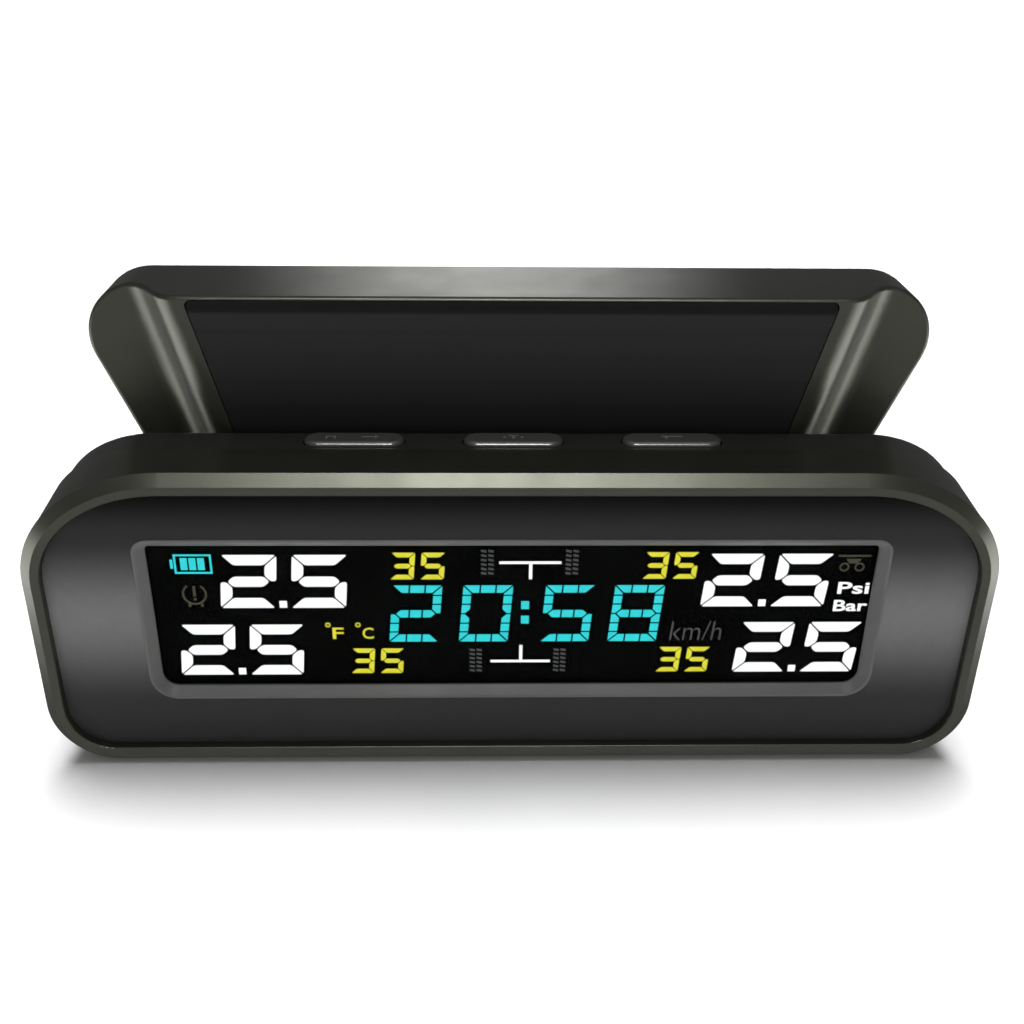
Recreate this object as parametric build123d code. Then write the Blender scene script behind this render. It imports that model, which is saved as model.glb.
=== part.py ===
from build123d import *
import os

# Tire pressure monitor for a dashboard: a display body with a solar base hinged behind its foot.
# Millimetres. X runs across, +Z is up and the display faces -Y. In every function Y is the depth behind
# the front of the rim, and export_node then centres the part, so the origin is at the bottom centre.

# Display body, seen from the front. The rim's side flares out to its back edge, and the case behind it
# is smaller, tapers towards its parting line and has tighter top corners.
BODY_W = 113.8
BODY_H = 39.65
RIM_CORNER = (17.3, 14.0)
FOOT_CORNER = 8.0
RIM_DEPTH = 1.3
RIM_FLARE = 1.35
RIM_LAND = 0.25  # straight part of the rim's side, behind the flare
LIP_W = 1.05
FACE_INSET = RIM_FLARE + LIP_W
SKIRT_INSET = 1.85
SHELL_FRONT_INSET = 0.6
SHELL_FRONT_CORNER = (15.8, 12.8)
SHELL_BACK_INSET = 1.2
SHELL_CORNER = (13.4, 10.4)
COVER_INSET = 1.5
WALL = 1.4

# Rounding of moulded edges
RIM_ROUND = (0.15, 0.12)  # front, back
SHELL_ROUND = 0.2
COVER_ROUND = (0.15, 1.8)  # at the seam, at the back
CHEEK_ROUND = 0.4
BASE_ROUND = (0.45, 0.8)  # front, back
GRIP_ROUND = 0.2
CELL_ROUND = 1.2

# Display window
WINDOW_W = 85.1
WINDOW_H = 19.4
WINDOW_Z = 20.2
WINDOW_BEVEL = 1.05

# Depths behind the front of the rim, from the face to the back
PANEL_FRONT = 1.0
PANEL_BACK = 2.2
SHELF_BACK = 3.4
LENS_BACK = 2.8
LCD_FRONT = 2.9
LCD_BACK = 4.1
GUIDE_BACK = 5.1
REFLECTOR_BACK = 5.3
BOARD_FRONT = 5.9
BOARD_BACK = 6.9
CELL_FRONT = 8.2
SEAM = 10.2
COVER_BACK = 16.8
PLATEAU = 17.3
GLASS_FRONT = 17.4
GLASS_BACK = 18.2
CELL_BACK = 18.45
SHEET_BACK = 18.9
WING = 22.8
LID_FRONT = 29.6
BASE_BACK = 31.0
PAD_BACK = 31.5

# Base, seen from the front: it widens upwards from the hinge
BASE_TOP = 54.65
BASE_FOOT = 14.85
BASE_TOP_HALF = 55.6
BASE_FOOT_HALF = 39.1
BASE_CORNER = 6.8
SOLAR_TOP_HALF = 38.9
SOLAR_FOOT_HALF = 28.3
SOLAR_FRAME = 0.6  # flat strip between the solar glass and the swell down to the wings
SWELL_RUN = 8.1
SOLAR_TOP = 54.15
SOLAR_FOOT = 17.0

# Hinge
HINGE_R = (BASE_BACK - PLATEAU) / 2
HINGE_Y = (BASE_BACK + PLATEAU) / 2
HINGE_Z = HINGE_R + PAD_BACK - BASE_BACK
BARREL_HALF = 34.5
CHEEK_IN = 34.9
CHEEK_OUT = BASE_FOOT_HALF
PIN_R = 1.5
PIN_IN = 27.0
PIN_OUT = 38.5
RUNNING = 0.05
FOOT_PAD = PAD_BACK - BASE_BACK

# Buttons and their switches
BUTTONS = {"left": -19.1, "middle": 0.0, "right": 19.1}
BUTTON_W = 12.0
BUTTON_D = 3.4
BUTTON_Y = 12.9
BUTTON_PROUD = 0.6
BUTTON_TRAVEL = 0.5
BUTTON_GAP = 0.15
COVER_TOP = BODY_H - COVER_INSET
CAVITY_TOP = COVER_TOP - WALL
SWITCH_TOP = 33.8
PLUNGER_TOP = 34.6
PLUNGER_LENGTH = 1.5
WELL_DEPTH = PLUNGER_LENGTH - (PLUNGER_TOP - SWITCH_TOP) + BUTTON_TRAVEL + 0.1
KEY_BOARD_Z = 31.0

# Fasteners
CASE_SCREWS = [(x, z) for x in (-50.0, 50.0) for z in (8.0, 30.0)]
HINGE_SCREWS = [(x, z) for x in (-37.0, 37.0) for z in (5.2, 11.4)]
BOARD_SCREWS = [(x, z) for x in (-30.0, 30.0) for z in (7.2, 33.6)]
BASE_SCREWS = [(-47.5, 46.5), (47.5, 46.5), (-35.5, 18.5), (35.5, 18.5)]
SHANK_R = 0.85
PILOT_R = 0.9
CLEARANCE_R = 1.05
CASE_HEAD_R = 1.85

# Charging socket, sunk halfway into the board's edge
USB_Z = 19.0
USB_W = 8.94
USB_H = 3.26
USB_Y = BOARD_BACK + 0.3


def slab(sketch, front, back):
    """A front-view sketch, drawn in X and Z, made solid between two depths."""
    return extrude(Pos(0, front, 0) * (Plane.XZ * sketch), back - front, dir=(0, 1, 0))


def rod(x, z, radius, front, back):
    """A round rod along the depth, such as a screw's shank or its hole."""
    return slab(Pos(x, z) * Circle(radius), front, back)


def axle(radius, left, right):
    """A round rod along the hinge axis."""
    disc = Pos(left, HINGE_Y, HINGE_Z) * (Plane.YZ * Circle(radius))
    return extrude(disc, right - left, dir=(1, 0, 0))


def block(x, y, z):
    """A box from three (low, high) pairs."""
    centre = [(low + high) / 2 for low, high in (x, y, z)]
    return Pos(*centre) * Box(x[1] - x[0], y[1] - y[0], z[1] - z[0])


def body_outline(inset, corner=RIM_CORNER):
    """The display body seen from the front, shrunk by inset, with wide elliptical top corners."""
    half = BODY_W / 2 - inset
    low, high = inset, BODY_H - inset
    foot = FOOT_CORNER - inset
    top_x, top_z = corner[0] - inset, corner[1] - inset
    right = [
        Line((0, low), (half - foot, low)),
        CenterArc((half - foot, low + foot), foot, 270, 90),
        Line((half, low + foot), (half, high - top_z)),
        EllipticalCenterArc((half - top_x, high - top_z), top_x, top_z, 0, arc_size=90),
        Line((half - top_x, high), (0, high)),
    ]
    left = [mirror(edge, about=Plane.YZ) for edge in right]
    return make_face(Wire([part.edge() for part in right + left]))


def tapered(front_outline, front, back_outline, back):
    """A solid whose outline changes evenly from one depth to another."""
    return loft([Pos(0, front, 0) * (Plane.XZ * front_outline), Pos(0, back, 0) * (Plane.XZ * back_outline)],
                ruled=True)


def ring(outer, inner, front, back, corner=RIM_CORNER):
    """The wall between two insets of the display body's outline."""
    return slab(body_outline(outer, corner), front, back) - slab(body_outline(inner, corner), front, back)


def rounded(corners, radii):
    """A closed outline with one radius for each corner."""
    return make_face(FilletPolyline(*corners, radius=radii, close=True))


def window(grow):
    """The display window seen from the front, grown by grow: nearly sharp top corners."""
    half = WINDOW_W / 2 + grow
    low, high = WINDOW_Z - WINDOW_H / 2 - grow, WINDOW_Z + WINDOW_H / 2 + grow
    foot, top = 1.9 + grow, 0.5 + grow
    return rounded([(-half, low), (half, low), (half, high), (-half, high)], [foot, foot, top, top])


def pill(x, width, depth, low, high):
    """An upright pill-shaped column, wide along X."""
    return Pos(x, BUTTON_Y, low) * extrude(SlotOverall(width, depth), high - low)


def plate(width, height, front, back, corner=0.8):
    """A flat rectangular plate behind the window."""
    return slab(Pos(0, WINDOW_Z) * RectangleRounded(width, height, corner), front, back)


# Display body


def front_bezel():
    """The flared rim, with a skirt inside the case and a shelf that carries the face panel."""
    rim = tapered(body_outline(RIM_FLARE), 0, body_outline(0), RIM_DEPTH - RIM_LAND)
    rim += slab(body_outline(0), RIM_DEPTH - RIM_LAND, RIM_DEPTH)
    rim = fillet(rim.faces().sort_by(Axis.Y)[-1].edges(), RIM_ROUND[1])
    rim -= slab(body_outline(FACE_INSET), 0, RIM_DEPTH)
    rim = fillet(rim.faces().sort_by(Axis.Y)[0].edges(), RIM_ROUND[0])
    skirt = ring(SKIRT_INSET, FACE_INSET, RIM_DEPTH, PANEL_BACK)
    shelf = ring(SKIRT_INSET, FACE_INSET + 1.8, PANEL_BACK, SHELF_BACK)
    return rim + skirt + shelf


def face_panel():
    panel = slab(body_outline(FACE_INSET + 0.05), PANEL_FRONT, PANEL_BACK)
    bevel = tapered(window(WINDOW_BEVEL), PANEL_FRONT, window(0), PANEL_FRONT + 1.0)
    return panel - bevel - slab(window(0), PANEL_FRONT, PANEL_BACK)


def screen_lens():
    return plate(WINDOW_W + 3.8, WINDOW_H + 3.4, PANEL_BACK, LENS_BACK, 1.5)


def lcd_panel():
    return plate(WINDOW_W + 2.5, WINDOW_H + 2.0, LCD_FRONT, LCD_BACK, 0.4)


def light_guide():
    return plate(WINDOW_W + 1.7, WINDOW_H + 1.2, LCD_BACK, GUIDE_BACK, 0.4)


def reflector_sheet():
    return plate(WINDOW_W + 1.7, WINDOW_H + 1.2, GUIDE_BACK, REFLECTOR_BACK, 0.4)


def eared_plate(front, back):
    """A plate behind the window with a round ear for each board screw."""
    eared = plate(WINDOW_W + 6.3, WINDOW_H + 5.0, front, back, 1.0)
    for x, z in BOARD_SCREWS:
        eared += rod(x, z, 1.7, front, back)
    return eared


def lcd_frame():
    frame = eared_plate(LENS_BACK, BOARD_FRONT)
    frame -= plate(WINDOW_W + 2.7, WINDOW_H + 2.2, LENS_BACK, REFLECTOR_BACK, 0.4)
    frame -= plate(70.0, 12.0, REFLECTOR_BACK, BOARD_FRONT, 1.0)
    for x, z in BOARD_SCREWS:
        frame -= rod(x, z, 0.6, LENS_BACK + 0.6, BOARD_FRONT)
    return frame


def main_board():
    board = eared_plate(BOARD_FRONT, BOARD_BACK)
    board += block((45.0, 52.6), (BOARD_FRONT, BOARD_BACK), (USB_Z - 6.5, USB_Z + 6.5))
    board -= block((47.1, 53.0), (BOARD_FRONT, BOARD_BACK), (USB_Z - 4.6, USB_Z + 4.6))
    for x, z in BOARD_SCREWS:
        board -= rod(x, z, 0.75, BOARD_FRONT, BOARD_BACK)
    return board


def board_chips():
    """Controller, radio receiver, charger and memory as separate packages on the back of the board."""
    sizes = [(30.0, 26.0, 7.0, 7.0, 0.9), (31.0, 14.0, 5.0, 5.0, 0.9), (-31.0, 26.0, 6.0, 4.4, 1.0),
             (38.0, 19.0, 3.0, 2.2, 0.8), (-38.5, 22.5, 3.2, 2.6, 0.8), (24.6, 20.5, 2.2, 3.2, 0.8)]
    chips = [block((x - w / 2, x + w / 2), (BOARD_BACK, BOARD_BACK + t), (z - h / 2, z + h / 2))
             for x, z, w, h, t in sizes]
    return Compound(chips)


def usb_socket():
    """A metal shell with its tongue, soldered on the board and open through the right side wall."""
    def section(grow):
        return Pos(0, USB_Y, USB_Z) * (Plane.YZ * SlotOverall(USB_W + 2 * grow, USB_H + 2 * grow, rotation=90))
    shell = Pos(47.2, 0, 0) * extrude(section(0), 7.3, dir=(1, 0, 0))
    mouth = Pos(48.4, 0, 0) * extrude(section(-0.3), 6.1, dir=(1, 0, 0))
    tongue = block((48.4, 53.6), (USB_Y - 0.35, USB_Y + 0.35), (USB_Z - 3.3, USB_Z + 3.3))
    return shell - mouth + tongue


def buzzer():
    height = 3.0
    case = rod(-33.0, 14.5, 4.5, BOARD_BACK, BOARD_BACK + height)
    return case - rod(-33.0, 14.5, 0.8, BOARD_BACK + height - 1.0, BOARD_BACK + height)


def antenna():
    """A coiled quarter-wave receiver wire lying along the top of the board."""
    coil = Helix(pitch=1.3, height=10.4, radius=1.5)
    wire = sweep(Plane(coil @ 0, z_dir=coil % 0) * Circle(0.3), path=coil)
    return Pos(25.0, BOARD_BACK + 1.8, 31.0) * Rot(0, 90, 0) * wire


def battery_cell():
    cell = block((-21.0, 21.0), (CELL_FRONT, 14.4), (7.0, 28.0))
    return fillet(cell.edges().filter_by(Axis.X), CELL_ROUND)


def battery_pad():
    """Foam between the board and the cell."""
    return block((-19.0, 19.0), (BOARD_BACK, CELL_FRONT), (9.0, 26.0))


def key_board():
    return block((-29.0, 29.0), (BUTTON_Y - 1.9, BUTTON_Y + 1.9), (KEY_BOARD_Z, KEY_BOARD_Z + 1.0))


def switch_housings():
    """One small switch under each button, with a well for its plunger."""
    housings = []
    for x in BUTTONS.values():
        housing = block((x - 2.4, x + 2.4), (BUTTON_Y - 1.5, BUTTON_Y + 1.5), (KEY_BOARD_Z + 1.0, SWITCH_TOP))
        well = Pos(x, BUTTON_Y, SWITCH_TOP - WELL_DEPTH) * extrude(Circle(0.85), WELL_DEPTH)
        housings.append(housing - well)
    return Compound(housings)


def plunger(x):
    """Presses the switch. Its foot clears the well's floor by more than the button's travel."""
    return Pos(x, BUTTON_Y, PLUNGER_TOP - PLUNGER_LENGTH) * extrude(Circle(0.75), PLUNGER_LENGTH)


def button(x):
    """A pill-shaped key with a flange at each end that stops it under the cover's top wall."""
    foot = CAVITY_TOP - 1.0
    crown = pill(x, BUTTON_W, BUTTON_D, foot, COVER_TOP + BUTTON_PROUD)
    crown = fillet(crown.edges().group_by(Axis.Z)[-1], BUTTON_PROUD - 0.05)
    flange = pill(x, BUTTON_W + 1.6, BUTTON_D - 0.4, foot, CAVITY_TOP - 0.05)
    stem = Pos(x, BUTTON_Y, PLUNGER_TOP) * extrude(Circle(1.1), foot - PLUNGER_TOP)
    return crown + flange + stem


def corner_web(x, z, front, back, width):
    """A rib from a case screw's boss to the side wall."""
    side = 1 if x > 0 else -1
    return block(sorted((x, side * (BODY_W / 2 - SHELL_BACK_INSET - 0.7))), (front, back), (z - width, z + width))


def front_shell():
    """The middle of the case: a tapered tube with four screw bosses and the charging socket's opening."""
    front, back = RIM_DEPTH, SEAM
    outside = tapered(body_outline(SHELL_FRONT_INSET, SHELL_FRONT_CORNER), front,
                      body_outline(SHELL_BACK_INSET, SHELL_CORNER), back)
    outside = fillet(outside.faces().sort_by(Axis.Y)[-1].edges(), SHELL_ROUND)
    shell = outside - slab(body_outline(SKIRT_INSET - 0.05), front, SHELF_BACK + 0.1)
    shell -= slab(body_outline(SHELL_BACK_INSET + WALL, SHELL_CORNER), SHELF_BACK, back)
    for x, z in CASE_SCREWS:
        shell += rod(x, z, 2.5, 5.2, back) + corner_web(x, z, 5.2, back, 0.6)
        shell -= rod(x, z, PILOT_R, 6.2, back)
    mouth = Pos(0, USB_Y, USB_Z) * (Plane.YZ * SlotOverall(USB_W + 0.4, USB_H + 0.4, rotation=90))
    return shell - Pos(53.0, 0, 0) * extrude(mouth, 4.0, dir=(1, 0, 0))


def rear_cover():
    """The rounded back of the case, with the button holes and the ribs that carry the key board."""
    cover = slab(body_outline(COVER_INSET, SHELL_CORNER), SEAM, COVER_BACK)
    cover = fillet(cover.faces().sort_by(Axis.Y)[-1].edges(), COVER_ROUND[1])
    cover = fillet(cover.faces().sort_by(Axis.Y)[0].edges(), COVER_ROUND[0])
    cover -= slab(body_outline(COVER_INSET + WALL, SHELL_CORNER), SEAM, COVER_BACK - WALL)
    spigot = SHELL_BACK_INSET + WALL + 0.05
    cover += ring(spigot, spigot + 1.2, SEAM - 1.0, SEAM + 1.0, SHELL_CORNER)
    # The spigot is cut away along the top, where the keys are.
    cover -= block((-30.0, 30.0), (SEAM - 1.0, SEAM + 1.0), (33.0, CAVITY_TOP))
    for x, z in CASE_SCREWS:
        cover += rod(x, z, 3.0, SEAM, COVER_BACK - WALL)
        cover -= rod(x, z, 2.7, SEAM - 1.0, SEAM) + corner_web(x, z, SEAM - 1.0, SEAM, 1.0)
        cover -= rod(x, z, CLEARANCE_R, SEAM, COVER_BACK)
        cover -= rod(x, z, CASE_HEAD_R + 0.15, COVER_BACK - 2.2, COVER_BACK)
    for x, z in HINGE_SCREWS:
        cover -= rod(x, z, PILOT_R, COVER_BACK - WALL, COVER_BACK)
    for x in BUTTONS.values():
        cover -= pill(x, BUTTON_W + 2 * BUTTON_GAP, BUTTON_D + 2 * BUTTON_GAP, CAVITY_TOP - 0.5, COVER_TOP + 0.5)
    for x in (-28.0, -9.6, 9.6, 28.0):
        cover += block((x - 0.6, x + 0.6), (BUTTON_Y - 1.4, COVER_BACK - WALL), (KEY_BOARD_Z - 2.6, KEY_BOARD_Z))
    return cover


def screw(x, z, head_r, head, shank_r, tip):
    """A cross-recessed screw driven from the back: head is its (front, back) depth, tip its point."""
    body = rod(x, z, head_r, *head) + rod(x, z, shank_r, tip, head[0])
    for size in ((1.6, 0.4), (0.4, 1.6)):
        body -= slab(Pos(x, z) * Rectangle(*size), head[1] - 0.6, head[1])
    return body


def case_screws():
    head = (COVER_BACK - 2.2, COVER_BACK - 0.9)
    return Compound([screw(x, z, CASE_HEAD_R, head, SHANK_R, 6.8) for x, z in CASE_SCREWS])


def board_screws():
    head = (BOARD_BACK, BOARD_BACK + 0.9)
    return Compound([screw(x, z, 1.2, head, 0.6, 4.4) for x, z in BOARD_SCREWS])


def hinge_screws():
    """Seen from the back of the case they point away, into the cheeks."""
    screws = []
    for x, z in HINGE_SCREWS:
        shank = rod(x, z, SHANK_R, COVER_BACK - WALL, COVER_BACK + 2.6)
        head = rod(x, z, 1.6, COVER_BACK - WALL - 1.1, COVER_BACK - WALL)
        for size in ((1.6, 0.4), (0.4, 1.6)):
            head -= slab(Pos(x, z) * Rectangle(*size), COVER_BACK - WALL - 1.1, COVER_BACK - WALL - 0.5)
        screws.append(shank + head)
    return Compound(screws)


def hinge_cheek(side):
    """Carries one end of the hinge, and stands on the ground behind the display."""
    x = sorted((side * CHEEK_IN, side * CHEEK_OUT))
    cheek = block(x, (COVER_BACK, BASE_BACK), (FOOT_PAD, HINGE_Z))
    cheek += block(x, (COVER_BACK, HINGE_Y), (HINGE_Z, HINGE_Z + HINGE_R))
    cheek += axle(HINGE_R, *x)
    cheek = fillet(cheek.faces().sort_by(Axis.X)[-1 if side > 0 else 0].edges(), CHEEK_ROUND)
    cheek -= axle(PIN_R, *x)
    cheek -= axle(2.7, *sorted((side * PIN_OUT, side * CHEEK_OUT)))
    for screw_x, z in HINGE_SCREWS:
        cheek -= rod(screw_x, z, PILOT_R, COVER_BACK, COVER_BACK + 2.8)
    return cheek


def foot_pads():
    pads = [block(sorted((side * (CHEEK_IN + 0.3), side * (CHEEK_OUT - 0.3))),
                  (COVER_BACK + 0.8, BASE_BACK - 0.8), (0, FOOT_PAD)) for side in (-1, 1)]
    return Compound(pads)


def hinge_pins():
    return Compound([axle(PIN_R, *sorted((side * PIN_IN, side * PIN_OUT))) for side in (-1, 1)])


def hinge_caps():
    """Domed covers over the outer ends of the pins."""
    caps = []
    for side in (-1, 1):
        cap = axle(2.65, *sorted((side * PIN_OUT, side * (CHEEK_OUT + 0.5))))
        caps.append(fillet(cap.edges().sort_by(Axis.X)[-1 if side > 0 else 0], CHEEK_ROUND))
    return Compound(caps)


def friction_washers():
    gap = (BARREL_HALF + RUNNING, CHEEK_IN - RUNNING)
    washers = []
    for side in (-1, 1):
        ends = sorted((side * gap[0], side * gap[1]))
        washers.append(axle(4.5, *ends) - axle(PIN_R + RUNNING, *ends))
    return Compound(washers)


# Base


def half_at(z, foot, top):
    """Half the width at a height, on a straight side from the base's foot to its top."""
    return foot + (top - foot) * (z - BASE_FOOT) / (BASE_TOP - BASE_FOOT)


def base_section(z):
    """The base seen from above at one height: a plateau that swells down to a wing at each end."""
    crest = half_at(z, SOLAR_FOOT_HALF, SOLAR_TOP_HALF) + SOLAR_FRAME
    end = BASE_TOP_HALF + 5
    edges = [Line((-crest, PLATEAU), (crest, PLATEAU)), Line((end, BASE_BACK), (-end, BASE_BACK))]
    for side in (1, -1):
        foot = side * (crest + SWELL_RUN)
        edges.append(Spline((side * crest, PLATEAU), (foot, WING), tangents=[(side, 0), (side, 0)]))
        edges.append(Line((foot, WING), (side * end, WING)))
        edges.append(Line((side * end, WING), (side * end, BASE_BACK)))
    return Pos(0, 0, z) * make_face(Wire([edge.edge() for edge in edges]))


def base_outline(inset):
    """The base seen from the front, above the hinge."""
    foot, top = BASE_FOOT + inset, BASE_TOP - inset
    foot_half = half_at(foot, BASE_FOOT_HALF, BASE_TOP_HALF) - inset
    top_half = half_at(top, BASE_FOOT_HALF, BASE_TOP_HALF) - inset
    corners = [(-foot_half, foot), (foot_half, foot), (top_half, top), (-top_half, top)]
    return rounded(corners, [0.6, 0.6, BASE_CORNER - inset, BASE_CORNER - inset])


def front_edges(body):
    """The edges where the base's front meets its top and its slanted sides."""
    found = []
    for edge in body.edges():
        box, middle = edge.bounding_box(), edge.position_at(0.5)
        swell_foot = half_at(middle.Z, SOLAR_FOOT_HALF, SOLAR_TOP_HALF) + SOLAR_FRAME + SWELL_RUN
        on_top = box.min.Z > BASE_TOP - 0.01 and box.max.Y < WING + 0.1
        on_wing = abs(box.min.Y - WING) < 0.02 and abs(box.max.Y - WING) < 0.02
        on_side = on_wing and middle.Z > BASE_FOOT + 0.05 and abs(middle.X) > swell_foot + 0.3
        if on_top or on_side:
            found.append(edge)
    return found


def back_edges(body):
    """The edges round the base's back, above the hinge."""
    flat = [edge for edge in body.edges() if edge.bounding_box().min.Y > BASE_BACK - 0.01]
    return [edge for edge in flat if edge.position_at(0.5).Z > BASE_FOOT + 0.5]


def base_solid():
    """The whole base with its hinge barrel, before it is hollowed and parted."""
    swell = loft([base_section(HINGE_Z), base_section(BASE_TOP)], ruled=True)
    neck = block((-BARREL_HALF, BARREL_HALF), (PLATEAU, BASE_BACK), (HINGE_Z, BASE_FOOT + 3))
    body = swell & (slab(base_outline(0), PLATEAU, BASE_BACK) + neck)
    body += axle(HINGE_R, -BARREL_HALF, BARREL_HALF)
    body = fillet(front_edges(body), BASE_ROUND[0])
    return fillet(back_edges(body), BASE_ROUND[1])


def solar_outline(shrink):
    """The solar glass seen from the front."""
    foot, top = SOLAR_FOOT + shrink, SOLAR_TOP - shrink
    foot_half = half_at(foot, SOLAR_FOOT_HALF, SOLAR_TOP_HALF) - shrink
    top_half = half_at(top, SOLAR_FOOT_HALF, SOLAR_TOP_HALF) - shrink
    return rounded([(-foot_half, foot), (foot_half, foot), (top_half, top), (-top_half, top)], [0.8] * 4)


def base_front_shell():
    """Carries the solar panel in a recess, the screw bosses, and the bores that turn on the pins."""
    shell = base_solid() - block((-70, 70), (LID_FRONT, BASE_BACK + 1), (-1, 60))
    shell -= slab(solar_outline(-0.1), PLATEAU, SHEET_BACK)
    shell -= slab(solar_outline(1.0), SHEET_BACK + WALL, LID_FRONT)
    shell -= slab(base_outline(1.8), WING + 1.6, LID_FRONT)
    shell -= block((1.5 - PIN_IN, PIN_IN - 1.5), (SHEET_BACK + WALL, LID_FRONT), (4.4, SOLAR_FOOT + 3))
    for x, z in BASE_SCREWS:
        shell += rod(x, z, 2.3, WING + 1.0, LID_FRONT)
        shell -= rod(x, z, PILOT_R, WING + 2.0, LID_FRONT)
    for ends in ((-BARREL_HALF, 1 - PIN_IN), (PIN_IN - 1, BARREL_HALF)):
        shell -= axle(PIN_R + RUNNING, *ends)
    return shell


def base_back_cover():
    lid = base_solid() - block((-70, 70), (0, LID_FRONT), (-1, 60))
    for x, z in BASE_SCREWS:
        lid -= rod(x, z, CLEARANCE_R, LID_FRONT, BASE_BACK)
        lid -= rod(x, z, 1.85, BASE_BACK - 0.9, BASE_BACK)
    return lid


def solar_glass():
    return slab(solar_outline(0), GLASS_FRONT, GLASS_BACK)


def solar_cells():
    """A row of thin cells behind the glass."""
    width, gap, count = 8.8, 0.5, 6
    pitch = width + gap
    left = -(count * pitch - gap) / 2
    height = (SOLAR_FOOT + 1.5, SOLAR_TOP - 1.5)
    return Compound([block((left + n * pitch, left + n * pitch + width), (GLASS_BACK, CELL_BACK), height)
                     for n in range(count)])


def solar_backsheet():
    return slab(solar_outline(0), CELL_BACK, SHEET_BACK)


def base_screws():
    head = (BASE_BACK - 0.9, BASE_BACK - 0.1)
    return Compound([screw(x, z, 1.7, head, SHANK_R, WING + 2.4) for x, z in BASE_SCREWS])


def grip_pad():
    corners = [(-28.5, 10.0), (28.5, 10.0), (41.5, 51.0), (-41.5, 51.0)]
    pad = slab(rounded(corners, [3.0] * 4), BASE_BACK, PAD_BACK)
    return fillet(pad.faces().sort_by(Axis.Y)[-1].edges(), GRIP_ROUND)


NODES = {
    "front_bezel": front_bezel,
    "face_panel": face_panel,
    "screen_lens": screen_lens,
    "lcd_panel": lcd_panel,
    "light_guide": light_guide,
    "reflector_sheet": reflector_sheet,
    "lcd_frame": lcd_frame,
    "main_board": main_board,
    "board_chips": board_chips,
    "usb_socket": usb_socket,
    "buzzer": buzzer,
    "antenna": antenna,
    "battery_cell": battery_cell,
    "battery_pad": battery_pad,
    "key_board": key_board,
    "switch_housings": switch_housings,
    "front_shell": front_shell,
    "rear_cover": rear_cover,
    "case_screws": case_screws,
    "board_screws": board_screws,
    "hinge_screws": hinge_screws,
    "foot_pads": foot_pads,
    "hinge_pins": hinge_pins,
    "hinge_caps": hinge_caps,
    "friction_washers": friction_washers,
    "base_front_shell": base_front_shell,
    "base_back_cover": base_back_cover,
    "solar_glass": solar_glass,
    "solar_cells": solar_cells,
    "solar_backsheet": solar_backsheet,
    "base_screws": base_screws,
    "grip_pad": grip_pad,
}


def export_node(name, shape):
    """Write one node, centred front to back over the whole part's depth."""
    export_step(Pos(0, -PAD_BACK / 2, 0) * shape, f"parts/{name}.step")


os.makedirs("parts", exist_ok=True)
for node, make in NODES.items():
    export_node(node, make())
for place, x in BUTTONS.items():
    export_node(f"button_{place}", button(x))
    export_node(f"plunger_{place}", plunger(x))
for place, side in (("left", -1), ("right", 1)):
    export_node(f"hinge_cheek_{place}", hinge_cheek(side))
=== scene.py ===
import math

import bmesh
import bpy
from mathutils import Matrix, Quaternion, Vector


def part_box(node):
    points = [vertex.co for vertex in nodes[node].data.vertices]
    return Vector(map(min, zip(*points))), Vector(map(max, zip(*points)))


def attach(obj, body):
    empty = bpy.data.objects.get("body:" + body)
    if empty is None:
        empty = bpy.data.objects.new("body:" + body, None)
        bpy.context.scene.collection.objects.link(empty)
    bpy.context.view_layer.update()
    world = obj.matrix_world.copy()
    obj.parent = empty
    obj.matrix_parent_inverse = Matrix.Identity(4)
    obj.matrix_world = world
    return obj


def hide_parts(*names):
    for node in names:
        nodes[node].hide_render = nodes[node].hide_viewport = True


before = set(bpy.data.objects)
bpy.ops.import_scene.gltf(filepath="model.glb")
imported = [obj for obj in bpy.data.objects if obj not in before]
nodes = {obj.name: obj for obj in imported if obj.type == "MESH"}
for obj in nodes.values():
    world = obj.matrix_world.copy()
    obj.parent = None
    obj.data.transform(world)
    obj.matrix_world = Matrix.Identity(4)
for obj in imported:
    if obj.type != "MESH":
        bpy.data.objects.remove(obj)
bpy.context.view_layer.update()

MM = 0.001

# Camera: close to the display, with its tilt down and its turn to the right in degrees, and its lens in mm
CAMERA_AT = (-0.0037, -0.1350, 0.0974)
CAMERA_DOWN = 27.5
CAMERA_RIGHT = 1.4
CAMERA_LENS = 42.19

# Sky: its brightness all round, low in front, and added straight above. The last two fade in with direction.
SKY = 0.12
SKY_LOW_FRONT = 0.55
SKY_TOP = 0.5
LOW_FRONT = (0, -0.85, -0.53)
WHITE_OUT = 1.02  # just above white, so that the backdrop clips evenly

# The floor's own lamp, behind and above, with the spread in degrees that softens its shadow
FLOOR_LAMP = 4.4
FLOOR_LAMP_SPREAD = 36
FLOOR_LAMP_FROM = (0, 0.15, 0.62)
FLOOR_HALF = 4.0
BACKDROP_R = 3.9

# Glowing cards seen in reflections only: where each is, what it faces, its width, height and strength
CARDS = {
    "card_over": ((0, -0.27, 0.345), (0, -0.015, 0.04), 0.24, 0.10, 23.0),
    "card_left": ((-0.15, -0.012, 0.0), (-0.045, 0.004, 0.04), 0.24, 0.06, 3.6),
    "card_right": ((0.15, -0.012, 0.0), (0.045, 0.004, 0.04), 0.24, 0.06, 3.6),
    "card_behind": ((0, 0.34, 0.15), (0, 0.01, 0.055), 0.22, 0.10, 3.0),
}

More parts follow.
